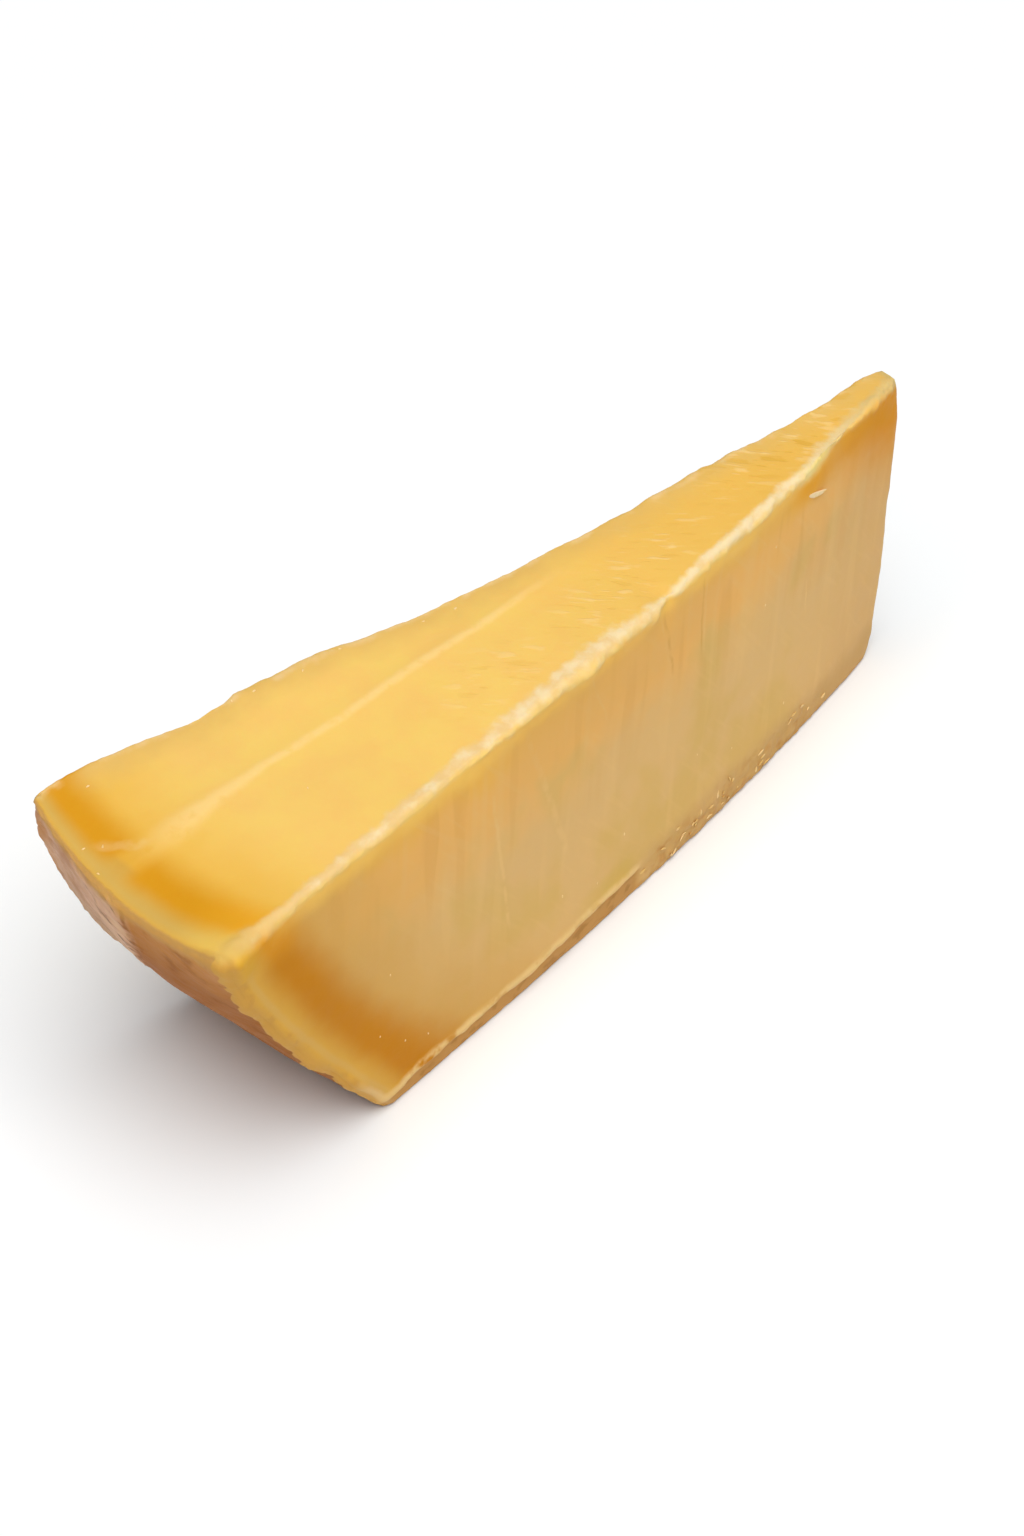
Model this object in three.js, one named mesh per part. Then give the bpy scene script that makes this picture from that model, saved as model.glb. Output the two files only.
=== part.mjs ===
// A loose wedge of aged hard cheese, cut from a large wheel and lying on the wheel's flat rind.
//
// Millimetres, +Z up. +X runs from the rind at the heel to the narrow tip. The right cut face looks
// along -Y, the left cut face along +Y, and the top is the level cut that halved the wheel.
// The origin is the middle of the bounding box, at the bottom.
//
// The wedge is a box whose six faces are bent to their real outlines. Each grid point of the box is
// placed in three steps: its edges are rounded, it is carried onto the outlines, and it is moved
// along its normal by the relief that cutting, drying and handling left.

import * as THREE from 'three';
import { mergeVertices } from 'three/addons/utils/BufferGeometryUtils.js';

// Outline -------------------------------------------------------------------------------------

const LENGTH = 210;          // from the chord across the heel to the tip
const HEEL_WIDTH = 58.4;     // across the heel's chord, at the top
const TIP_WIDTH = 6;         // the tip is cut square, not to a point
const HEEL_HEIGHT = 78.3;
const TIP_HEIGHT = 81.4;
const RIM_SAGITTA = 2.9;     // how far the round rim stands out past its chord
const RIM_DIP = 3.8;         // how far the dried rim sinks below the top, half way across
const RIM_DIP_REACH = 14;    // how far in from the rim that sinking reaches
const UNDERCUT_RIGHT = 38.6; // how far the wheel's round side runs in at the bottom, at the right cut
const UNDERCUT_LEFT = 37.2;  // and at the left cut
const POWER_RIGHT = 1.35;    // power of its curve at the right cut: 1 would be a straight slope
const POWER_LEFT = 1.85;     // and at the left cut, where the side is fuller
const RIGHT_BULGE = 4;       // the right cut bows outwards
const RIGHT_SKEW = 1.5;      // 1 puts the fullest place half way along, more moves it to the tip
const RIGHT_LEAN_HEEL = 1.8; // the right cut's foot stands out past its top, most at the heel
const RIGHT_LEAN_TIP = 0.6;
const LEFT_HOLLOW = 5.1;     // the left cut bows inwards
const LEFT_SKEW = 1.6;
const TOP_CROWN = 0.75;      // the top bows upwards half way along
const TOE_CUT = 4;           // the tip's bottom corner is worn back by this much
const TOE_HEIGHT = 7;        // up to this height

// Rounding of the edges: the reach of each rounding along X, Y and Z
const ROUND_ALONG = 2.6;
const ROUND_ACROSS = 1.4;
const ROUND_UP = 1.5;

// Grid: steps along, across and up, of which the first and last few lie in the rounded edges
const STEPS_ALONG = 62;
const STEPS_ACROSS = 12;
const STEPS_UP = 18;
const EDGE_STEPS = 3;

const lerp = (from, to, share) => from + (to - from) * share;
const clamp = (value, low, high) => Math.min(Math.max(value, low), high);

/** A smooth hill: 1 at distance 0, falling to 0.37 at the given reach. */
const hill = (distance, reach) => Math.exp(-((distance / reach) ** 2));

/** A wave between -1 and 1 along a distance. */
const wave = (distance, wavelength, phase) => Math.sin((2 * Math.PI * distance) / wavelength + phase);

/** How far a bowed outline stands out, as a share: 0 at both ends, and 1 at skew / (skew + 1). */
function bow(station, skew = 1) {
  const inside = clamp(station, 0, 1);
  const fullest = skew / (skew + 1);
  return (inside ** skew * (1 - inside)) / (fullest ** skew * (1 - fullest));
}

/** X of the rind at the heel: a shallow arc across, undercut towards the bottom. */
function heelX(across, up) {
  const arc = RIM_SAGITTA * (1 - (2 * across - 1) ** 2);
  const undercut = lerp(UNDERCUT_RIGHT, UNDERCUT_LEFT, across);
  return -LENGTH / 2 - arc + undercut * (1 - up) ** lerp(POWER_RIGHT, POWER_LEFT, across);
}

/** X of the tip: upright, with its bottom corner worn back. */
function tipX(up) {
  const toe = clamp(1 - (up * TIP_HEIGHT) / TOE_HEIGHT, 0, 1);
  return LENGTH / 2 - TOE_CUT * toe ** 2;
}

/** Full width between the two cuts at a station, 0 at the heel's chord and 1 at the tip. */
const widthAt = (station) => lerp(HEEL_WIDTH, TIP_WIDTH, station);

/** Y across a section, from the right cut to the left cut; both bow towards -Y. */
function sectionY(station, across, up) {
  const half = widthAt(station) / 2;
  const lean = lerp(RIGHT_LEAN_HEEL, RIGHT_LEAN_TIP, station) * (1 - up);
  const right = -half - RIGHT_BULGE * bow(station, RIGHT_SKEW) - lean;
  const left = half - LEFT_HOLLOW * bow(station, LEFT_SKEW);
  return lerp(right, left, across);
}

/** Height of the top, rising a little to the tip, with its rim dried down at the heel. */
function topZ(station, across) {
  const fromRim = station * LENGTH + RIM_SAGITTA * (1 - (2 * across - 1) ** 2);
  const dip = RIM_DIP * (1 - (2 * across - 1) ** 2) * hill(Math.max(fromRim, 0), RIM_DIP_REACH);
  return lerp(HEEL_HEIGHT, TIP_HEIGHT, station) + TOP_CROWN * bow(station) - dip;
}

/** The point at shares along, across and up of the bent box. */
function outlinePoint(along, across, up) {
  const x = lerp(heelX(across, up), tipX(up), along);
  const station = (x + LENGTH / 2) / LENGTH;
  return new THREE.Vector3(x, sectionY(station, across, up), up * topZ(station, across));
}

// Grid and rounding ---------------------------------------------------------------------------

/** Distance of a grid row from the first face, with EDGE_STEPS rows in each rounded edge. */
function rowDistance(row, steps, extent, round) {
  const fromFirst = Math.min(row, steps - row);
  const first = row <= steps - row;
  let distance = round * (1 - Math.tan((Math.PI / 4) * (1 - fromFirst / EDGE_STEPS)));
  if (fromFirst >= EDGE_STEPS) {
    const share = (fromFirst - EDGE_STEPS) / (steps - 2 * EDGE_STEPS);
    distance = round + (extent - 2 * round) * share;
  }
  return first ? distance : extent - distance;
}

/** Where a grid point lies in its own local box, before rounding, and how large that box is. */
function boxPoint(row) {
  const alongShare = rowDistance(row.x, STEPS_ALONG, LENGTH, ROUND_ALONG) / LENGTH;
  const upShare = rowDistance(row.z, STEPS_UP, HEEL_HEIGHT, ROUND_UP) / HEEL_HEIGHT;
  const x = lerp(heelX(row.y / STEPS_ACROSS, upShare), tipX(upShare), alongShare);
  const station = (x + LENGTH / 2) / LENGTH;
  const size = new THREE.Vector3(LENGTH, widthAt(station), topZ(station, row.y / STEPS_ACROSS));
  const point = new THREE.Vector3(
    alongShare * size.x,
    rowDistance(row.y, STEPS_ACROSS, size.y, ROUND_ACROSS),
    upShare * size.z,
  );
  return { point, size, station };
}

/** A box point moved onto the rounded box: out from an inner box by an ellipsoid of the radii. */
function roundedPoint({ point, size }) {
  const radii = new THREE.Vector3(ROUND_ALONG, ROUND_ACROSS, ROUND_UP);
  const inner = point.clone().clamp(radii, size.clone().sub(radii));
  const outwards = point.clone().sub(inner).divide(radii).normalize();
  return inner.add(outwards.multiply(radii));
}

// Relief ----------------------------------------------------------------------------------------

// Swells (+) and dents (-) of the edges: distance from the heel's chord, height and reach
const TOP_LEFT_SWELLS = [
  [0, -1.2, 4],
  [34, -1.1, 6],
  [56, 0.8, 12],
  [95, -0.5, 22],
  [159, 0.7, 10],
  [187, -0.5, 10],
  [209, -1, 4],
];
const TOP_RIGHT_SWELLS = [
  [4, 1.6, 9],
  [62, -0.7, 14],
  [100, 0.5, 3],
  [124, -1, 3.5],
  [186, -1.2, 8],
];
const EDGE_REACH = 8;        // how far from an edge its swells fade

// The upright edge between the right cut and the tip swells at this height
const TIP_SWELL = { z: 57, height: 0.8, reach: 17 };

const LIP_HEIGHT = 0.45;     // the crumbly lip that the cut pressed up along the top right edge
const LIP_REACH = 1.8;
const HEEL_EDGE_WAVE = 0.5;  // the right cut's edge at the heel is wavy
const HEEL_EDGE_REACH = 4;
const CREASE_Y = 2.8;        // a faint fold runs along the top, from the rim to past the middle
const CREASE_END = 0.62;     // the station where it ends
const CREASE_HEIGHT = 0.35;
const CREASE_REACH = 2.5;
const FLAKE_HEIGHT = 0.8;    // a patch of the rind has flaked up below the rim
const FLAKE_CENTRE = { y: -4, z: 58 };
const FLAKE_REACH = { y: 15, z: 13 };
const CUT_UNEVENNESS = 0.3;  // slow waves of the cut faces
const RIND_UNEVENNESS = 0.4; // and of the rind

const swells = (list, distance) =>
  list.reduce((sum, [place, height, reach]) => sum + height * hill(distance - place, reach), 0);

/** How far the relief stands out along the normal, at a box point and the place it was carried to. */
function relief({ point, size, station }, placed) {
  const fromHeel = station * LENGTH;
  const toRight = point.y;
  const toLeft = size.y - point.y;
  const toTop = size.z - point.z;
  const toRind = point.x;
  const toTip = size.x - point.x;

  const topLeft = Math.max(toLeft, toTop);
  const topRight = Math.max(toRight, toTop);
  const heelRight = Math.max(toRight, toRind);
  let height = swells(TOP_LEFT_SWELLS, fromHeel) * hill(topLeft, EDGE_REACH);
  height += swells(TOP_RIGHT_SWELLS, fromHeel) * hill(topRight, EDGE_REACH);
  const tipSwell = TIP_SWELL.height * hill(placed.z - TIP_SWELL.z, TIP_SWELL.reach);
  height += tipSwell * hill(Math.max(toRight, toTip), EDGE_REACH);

  const crumbs = 0.6 + 0.25 * wave(fromHeel, 13, 0.4) + 0.15 * wave(fromHeel, 29, 2);
  height += LIP_HEIGHT * crumbs * hill(topRight, LIP_REACH);
  height += HEEL_EDGE_WAVE * wave(placed.z, 15, 1.2) * hill(heelRight, HEEL_EDGE_REACH);

  const onTop = hill(toTop, 1);
  const creaseFade = clamp((CREASE_END - station) * 8, 0, 1);
  height += CREASE_HEIGHT * onTop * creaseFade * hill(placed.y - CREASE_Y, CREASE_REACH);

  const onRind = hill(toRind, 1);
  const flakeY = (placed.y - FLAKE_CENTRE.y) / FLAKE_REACH.y;
  const flakeZ = (placed.z - FLAKE_CENTRE.z) / FLAKE_REACH.z;
  height += FLAKE_HEIGHT * onRind * hill(Math.hypot(flakeY, flakeZ), 1);
  height += RIND_UNEVENNESS * onRind * wave(placed.y, 37, 0.5) * wave(placed.z, 31, 1);

  const slowWave = wave(placed.x, 61, 0.4) * wave(placed.z + placed.y, 47, 1.1);
  height += CUT_UNEVENNESS * (1 - onRind) * slowWave;
  return height * clamp(placed.z / EDGE_REACH, 0, 1);
}

// Mesh ------------------------------------------------------------------------------------------

function wedgeGeometry() {
  const box = new THREE.BoxGeometry(1, 1, 1, STEPS_ALONG, STEPS_ACROSS, STEPS_UP);
  box.deleteAttribute('normal');
  box.deleteAttribute('uv');
  const geometry = mergeVertices(box);
  const position = geometry.attributes.position;
  const steps = new THREE.Vector3(STEPS_ALONG, STEPS_ACROSS, STEPS_UP);
  const points = [];
  for (let index = 0; index < position.count; index += 1) {
    const row = new THREE.Vector3().fromBufferAttribute(position, index);
    row.addScalar(0.5).multiply(steps).round();
    const local = boxPoint(row);
    points.push(local);
    const share = roundedPoint(local).divide(local.size);
    const placed = outlinePoint(share.x, share.y, share.z);
    position.setXYZ(index, placed.x, placed.y, placed.z);
  }

  geometry.computeVertexNormals();
  const normal = geometry.attributes.normal;
  for (let index = 0; index < position.count; index += 1) {
    const out = new THREE.Vector3().fromBufferAttribute(normal, index);
    const placed = new THREE.Vector3().fromBufferAttribute(position, index);
    placed.addScaledVector(out, relief(points[index], placed));
    position.setXYZ(index, placed.x, placed.y, Math.max(placed.z, 0));
  }

  geometry.computeBoundingBox();
  const centre = geometry.boundingBox.getCenter(new THREE.Vector3());
  geometry.translate(-centre.x, -centre.y, -geometry.boundingBox.min.z);
  geometry.computeVertexNormals();
  return geometry;
}

const cheese = new THREE.MeshStandardMaterial({ color: 0xe3ae5c, roughness: 0.5, metalness: 0 });

const wedge = new THREE.Mesh(wedgeGeometry(), cheese);
wedge.name = 'cheese_wedge';

const part = new THREE.Group();
part.add(wedge);

export default part;
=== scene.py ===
# %% [markdown]
# # A loose wedge of aged hard cheese
#
# The wedge was cut from a large wheel that had first been halved level. It lies on the wheel's flat
# rind. +X runs from the round rind at the heel to the narrow tip, the right cut looks along -Y, the
# left cut along +Y, and the top is the level cut.
#
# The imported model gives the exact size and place. This script keeps that form and adds what makes
# it cheese: the crumbly lip, the dried rim, the rind, knife marks, crumbs, and the waxy paste.

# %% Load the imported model
import math
from functools import partial, reduce

import bpy
import numpy as np
from mathutils import Matrix, Vector


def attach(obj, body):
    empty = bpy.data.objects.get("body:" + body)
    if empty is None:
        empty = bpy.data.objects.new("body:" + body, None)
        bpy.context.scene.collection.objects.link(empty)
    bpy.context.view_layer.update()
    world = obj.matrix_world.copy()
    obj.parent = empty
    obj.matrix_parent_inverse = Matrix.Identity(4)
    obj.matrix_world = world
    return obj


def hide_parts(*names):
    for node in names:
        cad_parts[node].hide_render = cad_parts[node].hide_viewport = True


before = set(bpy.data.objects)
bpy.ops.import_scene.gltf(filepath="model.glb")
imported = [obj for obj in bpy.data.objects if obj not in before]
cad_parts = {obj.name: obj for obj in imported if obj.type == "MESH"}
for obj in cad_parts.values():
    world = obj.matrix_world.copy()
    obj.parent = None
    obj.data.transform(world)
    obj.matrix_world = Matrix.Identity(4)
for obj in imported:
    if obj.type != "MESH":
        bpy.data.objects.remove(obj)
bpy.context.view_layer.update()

# %% [markdown]
# ## The outline
#
# A wedge could be cut from a cylinder with two planes, but here the knife wandered, so both cuts bow
# the same way, and the rim has dried and sunk. So it is a box whose six faces are bent. Each face has
# one short formula in millimetres, the same that the solid is made with, so both are one shape.

# %% Driving sizes, in millimetres
MM = 0.001

LENGTH = 210.0  # from the chord across the heel to the tip
HEEL_WIDTH = 58.4  # across the heel's chord, at the top
TIP_WIDTH = 6.0  # the tip is cut square
HEEL_HEIGHT = 78.3
TIP_HEIGHT = 81.4
RIM_SAGITTA = 2.9  # how far the round rim stands out past its chord
RIM_DIP = 3.8  # how far the dried rim sinks, half way across
RIM_DIP_REACH = 14.0
UNDERCUT_RIGHT = 38.6  # how far the wheel's round side runs in at the bottom, at the right cut
UNDERCUT_LEFT = 37.2  # and at the left cut
POWER_RIGHT = 1.35  # power of its curve at the right cut
POWER_LEFT = 1.85  # and at the left cut, where the side is fuller
RIGHT_BULGE = 4.0
RIGHT_SKEW = 1.5
RIGHT_LEAN_HEEL = 1.8  # how far the right cut's foot stands out past its top, at the heel
RIGHT_LEAN_TIP = 0.6
LEFT_HOLLOW = 5.1
LEFT_SKEW = 1.6
TOP_CROWN = 0.75
TOE_CUT = 4.0  # the tip's bottom corner is worn back
TOE_HEIGHT = 7.0
ROUNDING = np.array([2.6, 1.4, 1.5])  # reach of the rounded edges along X, Y and Z

# %% Small formulas


def lerp(start, end, share):
    """start + (end - start) * share."""
    return start + (end - start) * share


def hill(distance, reach):
    """exp(-(distance / reach)^2): 1 at distance 0, and 0.37 at the reach."""
    return np.exp(-np.square(distance / reach))


def patch(first, second, centre, reach):
    """A soft oval patch: the product of two hills."""
    return hill(first - centre[0], reach[0]) * hill(second - centre[1], reach[1])


def wave(distance, wavelength, phase):
    """sin(2 pi distance / wavelength + phase)."""
    return np.sin(2 * np.pi * distance / wavelength + phase)


def ease(value, start, end):
    """0 at start, 1 at end and 3 t^2 - 2 t^3 between them; start may be the larger."""
    share = np.clip((value - start) / (end - start), 0, 1)
    return share * share * (3 - 2 * share)


def bow(station, skew=1.0):
    """s^skew * (1 - s), scaled so that its highest value is 1, at s = skew / (skew + 1)."""
    inside = np.clip(station, 0, 1)
    fullest = skew / (skew + 1)
    return inside**skew * (1 - inside) / (fullest**skew * (1 - fullest))


# %% The six bent faces


def rim_arc(across):
    """Height of the heel's arc over its chord: sagitta * (1 - (2 across - 1)^2)."""
    return RIM_SAGITTA * (1 - np.square(2 * across - 1))


def undercut_at(across):
    """How far the rind runs in at the bottom, and the power of its curve."""
    return lerp(UNDERCUT_RIGHT, UNDERCUT_LEFT, across), lerp(POWER_RIGHT, POWER_LEFT, across)


def heel_x(across, up):
    """The rind: -length / 2 - arc + undercut * (1 - up)^power."""
    undercut, power = undercut_at(across)
    return -LENGTH / 2 - rim_arc(across) + undercut * np.clip(1 - up, 0, 1) ** power


def tip_x(up):
    """The tip: upright, its bottom corner worn back by a parabola."""
    return LENGTH / 2 - TOE_CUT * np.square(np.clip(1 - up * TIP_HEIGHT / TOE_HEIGHT, 0, 1))


def width_at(station):
    return lerp(HEEL_WIDTH, TIP_WIDTH, station)


def section_y(station, across, up):
    """Across a section, from the right cut (bulging) to the left cut (hollow)."""
    half = width_at(station) / 2
    lean = lerp(RIGHT_LEAN_HEEL, RIGHT_LEAN_TIP, station) * (1 - up)
    right = -half - RIGHT_BULGE * bow(station, RIGHT_SKEW) - lean
    left = half - LEFT_HOLLOW * bow(station, LEFT_SKEW)
    return lerp(right, left, across)


def top_z(station, across):
    """The top: rising to the tip, a little crowned, and sunk behind the dried rim."""
    from_rim = np.clip(station * LENGTH + rim_arc(across), 0, None)
    dip = RIM_DIP * (1 - np.square(2 * across - 1)) * hill(from_rim, RIM_DIP_REACH)
    return lerp(HEEL_HEIGHT, TIP_HEIGHT, station) + TOP_CROWN * bow(station) - dip


def station_of(x):
    """0 at the heel's chord and 1 at the tip."""
    return (x + LENGTH / 2) / LENGTH


# %% [markdown]
# ## One closed grid
#
# Six separate sheets would leave seams at the edges. Here the surface points of a whole box are
# numbered, and each sheet picks its quads from the same numbering, so neighbours share their edge
# points and the mesh is closed.

# %% A closed box of grid points


def box_sheet(numbers, axis, end):
    """The quads of one face of the box, with their corners in order seen from outside."""
    sheet = np.take(numbers, end, axis=axis)
    corners = (sheet[:-1, :-1], sheet[1:, :-1], sheet[1:, 1:], sheet[:-1, 1:])
    quads = np.stack(corners, axis=-1).reshape(-1, 4)
    faces_out = (end == -1) != (axis == 1)
    return quads if faces_out else quads[:, ::-1]


def closed_box(steps):
    """Rows (N, 3) of the surface points of a grid with these steps, and quads (M, 4)."""
    rows = np.stack(np.meshgrid(*(np.arange(count + 1) for count in steps), indexing="ij"), axis=-1)
    on_surface = ((rows == 0) | (rows == np.array(steps))).any(axis=-1)
    numbers = np.full(on_surface.shape, -1)
    numbers[on_surface] = np.arange(on_surface.sum())
    sheets = [box_sheet(numbers, axis, end) for axis in range(3) for end in (0, -1)]
    return rows[on_surface], np.concatenate(sheets)


def vertex_normals(points, quads):
    """The sum of the crossed diagonals of a point's quads, at length 1."""
    corner = points[quads]
    crossed = np.cross(corner[:, 2] - corner[:, 0], corner[:, 3] - corner[:, 1])
    summed = np.zeros_like(points)
    for axis in range(3):
        weights = np.repeat(crossed[:, axis], 4)
        summed[:, axis] = np.bincount(quads.ravel(), weights, minlength=len(points))
    return summed / np.linalg.norm(summed, axis=1, keepdims=True)


# %% Rounding the box and bending it to the outline


def row_distance(row, steps, extent, rounding, edge_steps, crowding):
    """Distance of a row from the first face. edge_steps rows lie in each rounded edge, evenly by
    angle. Between them, s - crowding * sin(2 pi s) / (2 pi) draws the rows towards the edges."""
    nearest = np.minimum(row, steps - row)
    in_edge = rounding * (1 - np.tan(np.pi / 4 * (1 - nearest / edge_steps)))
    share = np.clip((nearest - edge_steps) / (steps - 2 * edge_steps), 0, 1)
    share = share - crowding * np.sin(2 * np.pi * share) / (2 * np.pi)
    between = rounding + (extent - 2 * rounding) * share
    distance = np.where(nearest >= edge_steps, between, in_edge)
    return np.where(row <= steps - row, distance, extent - distance)


class Wedge:
    """The bent box in millimetres: points, quads, and each point's distances from the faces."""

    def __init__(self, steps, edge_steps, crowding):
        rows, self.quads = closed_box(steps)

        def spaced(axis, extent):
            return row_distance(
                rows[:, axis], steps[axis], extent, ROUNDING[axis], edge_steps, crowding[axis]
            )

        along = spaced(0, LENGTH) / LENGTH
        up = spaced(2, HEEL_HEIGHT) / HEEL_HEIGHT
        across = rows[:, 1] / steps[1]
        self.station = station_of(lerp(heel_x(across, up), tip_x(up), along))
        height = top_z(self.station, across)
        self.size = np.stack([np.full_like(along, LENGTH), width_at(self.station), height], axis=1)
        self.local = np.stack([along * LENGTH, spaced(1, self.size[:, 1]), up * height], axis=1)
        self.to_rind, self.to_right, _ = self.local.T
        self.to_tip, self.to_left, self.to_top = (self.size - self.local).T
        self.points, self.outward = self.placed()

    def placed(self):
        """Rounds the box by an ellipsoid round an inner box, and bends it to the outline."""
        inner = np.clip(self.local, ROUNDING, self.size - ROUNDING)
        outward = (self.local - inner) / ROUNDING
        outward /= np.linalg.norm(outward, axis=1, keepdims=True)
        share = (inner + outward * ROUNDING) / self.size
        along, across, up = share.T
        x = lerp(heel_x(across, up), tip_x(up), along)
        station = station_of(x)
        points = np.stack([x, section_y(station, across, up), up * top_z(station, across)], axis=1)
        return points, outward


# %% [markdown]
# ## The large relief
#
# Cutting, drying and handling left swells and dents along the top edges, a pressed-up lip, a fold
# along the top and a flaked patch on the rind. They are sums of smooth hills and waves of the
# distance from an edge, and the same as the solid's.

# %% Swells, lip, fold and flake
# Swells (+) and dents (-) of an edge: distance from the heel's chord, height and reach
TOP_LEFT_SWELLS = (
    (0, -1.2, 4), (34, -1.1, 6), (56, 0.8, 12), (95, -0.5, 22),
    (159, 0.7, 10), (187, -0.5, 10), (209, -1, 4),
)
TOP_RIGHT_SWELLS = ((4, 1.6, 9), (62, -0.7, 14), (100, 0.5, 3), (124, -1, 3.5), (186, -1.2, 8))
EDGE_REACH = 8.0
TIP_SWELL = (57, 0.8, 17)  # of the upright edge at the tip: Z, height and reach
LIP_HEIGHT = 0.45
LIP_REACH = 1.8
HEEL_EDGE_WAVE = 0.5
HEEL_EDGE_REACH = 4.0
CREASE_Y = 2.8
CREASE_END = 0.62
CREASE_HEIGHT = 0.35
CREASE_REACH = 2.5
FLAKE_HEIGHT = 0.8
FLAKE_CENTRE = (-4.0, 58.0)  # Y and Z
FLAKE_REACH = (15.0, 13.0)
CUT_UNEVENNESS = 0.3
RIND_UNEVENNESS = 0.4


def swells(places, distance):
    return sum(height * hill(distance - place, reach) for place, height, reach in places)


def large_relief(wedge):
    """Height along the normal, in millimetres, from the distances to the edges."""
    x, y, z = wedge.points.T
    from_heel = wedge.station * LENGTH
    top_left = np.maximum(wedge.to_left, wedge.to_top)
    top_right = np.maximum(wedge.to_right, wedge.to_top)
    right_tip = np.maximum(wedge.to_right, wedge.to_tip)
    right_heel = np.maximum(wedge.to_right, wedge.to_rind)
    height = swells(TOP_LEFT_SWELLS, from_heel) * hill(top_left, EDGE_REACH)
    height += swells(TOP_RIGHT_SWELLS, from_heel) * hill(top_right, EDGE_REACH)
    height += swells([TIP_SWELL], z) * hill(right_tip, EDGE_REACH)
    lumpiness = 0.6 + 0.25 * wave(from_heel, 13, 0.4) + 0.15 * wave(from_heel, 29, 2)
    height += LIP_HEIGHT * lumpiness * hill(top_right, LIP_REACH)
    height += HEEL_EDGE_WAVE * wave(z, 15, 1.2) * hill(right_heel, HEEL_EDGE_REACH)
    crease_fade = np.clip((CREASE_END - wedge.station) * 8, 0, 1)
    height += CREASE_HEIGHT * hill(wedge.to_top, 1) * crease_fade * hill(y - CREASE_Y, CREASE_REACH)
    on_rind = hill(wedge.to_rind, 1)
    height += on_rind * FLAKE_HEIGHT * patch(y, z, FLAKE_CENTRE, FLAKE_REACH)
    height += on_rind * RIND_UNEVENNESS * wave(y, 37, 0.5) * wave(z, 31, 1)
    height += CUT_UNEVENNESS * (1 - on_rind) * wave(x, 61, 0.4) * wave(z + y, 47, 1.1)
    return height * np.clip(z / EDGE_REACH, 0, 1)


def raised(wedge, height, upright=1):
    """The points moved out along their normals, not below the table; `upright` scales the Z move."""
    moved = vertex_normals(wedge.points, wedge.quads) * height[:, None]
    moved[:, 2] *= upright
    points = wedge.points + moved
    points[:, 2] = np.maximum(points[:, 2], 0)
    return points


# %% The place of the wedge in the shared frame
# The solid stands with the middle of its box at the origin. The same coarse grid gives that middle.
solid_wedge = Wedge((62, 12, 18), 3, (0, 0, 0))
solid_points = raised(solid_wedge, large_relief(solid_wedge))
to_frame = -(solid_points.min(axis=0) + solid_points.max(axis=0)) / 2
to_frame[2] = 0
print("shift into the frame, mm:", to_frame.round(3))
print("grid box against the packed solid, mm:", np.ptp(solid_points, axis=0).round(2))

# %% The fine grid of the dressed wedge
# Half a millimetre along it. The other rows crowd towards the edges, where the detail is.
FINE_STEPS = (360, 44, 72)
FINE_EDGE_STEPS = 4
CROWDING = (0.25, 0.45, 0.50)
wedge = Wedge(FINE_STEPS, FINE_EDGE_STEPS, CROWDING)
wedge.points = raised(wedge, large_relief(wedge))
print("fine wedge:", len(wedge.points), "points,", 2 * len(wedge.quads), "triangles")

# %% [markdown]
# ## Seeded noise
#
# Crumbly edges need irregular lumps at many sizes. Noise in numpy can be masked by the distances
# from the edges, and the same seed always gives the same cheese.

# %% Lattice noise
LATTICE = 64
NOISE_SEED = 11


def lattice_noise(points, size, layer):
    """Random values from -1 to 1 on a lattice of cells `size` mm wide, blended by eased weights."""
    table = np.random.default_rng(NOISE_SEED + layer).uniform(-1, 1, (LATTICE, LATTICE, LATTICE))
    cell = np.floor(points / size).astype(int)
    share = ease(points / size - cell, 0, 1)
    total = np.zeros(len(points))
    for corner in np.ndindex(2, 2, 2):
        weight = np.prod(np.where(corner, share, 1 - share), axis=1)
        index = (cell + corner) % LATTICE
        total += weight * table[tuple(index.T)]
    return total


def lumps(points, size, layer):
    """Three octaves of lattice noise, each half the size and height of the last."""
    octaves = [lattice_noise(points, size / 2**octave, layer + octave) / 2**octave for octave in range(3)]
    return sum(octaves) / 1.75


def crumble(points, size, layer):
    """1 - 3.2 |noise|, but at least -0.5: rounded crumbs with creases between them."""
    return np.maximum(1 - 3.2 * np.abs(lumps(points, size, layer)), -0.5)


def crumbs_only(points, size, layer):
    """The tops of the crumbs alone, from 0 to 1."""
    return np.clip(crumble(points, size, layer), 0, 1)


# %% [markdown]
# ## Where everything lies on the wedge
#
# Cheese is read by its zones: the rind, the dried amber band behind it, the pale lip along the top
# right edge, a painted glow of light below that lip, and the foot where the flat rind shows. Each
# zone is a smooth distance on the points, so the material can draw a line from it that is finer
# than the grid.

# %% Distances and faces
place = wedge.points
x, y, z = place.T
to_right, to_top, to_rind, to_tip = wedge.to_right, wedge.to_top, wedge.to_rind, wedge.to_tip
across, up = (wedge.local / wedge.size)[:, 1:].T
to_faces = np.concatenate([wedge.local, wedge.size - wedge.local], axis=1)
from_edge = np.sort(to_faces, axis=1)[:, 1]

_, on_left, on_top = np.square(np.clip(wedge.outward, 0, None)).T
on_heel, on_right, on_base = np.square(np.clip(-wedge.outward, 0, None)).T
on_cuts = on_top + on_right + on_left

# %% The dried rim behind the rind
# Millimetres behind the rind where the strip is palest, the amber is deepest and the amber is gone
RIM_TOP_RIGHT = (3.2, 9.4, 17.0)
RIM_TOP_LEFT = (1.6, 5.4, 12.0)
RIM_SIDE = (4.0, 11.0, 20.5)


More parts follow.
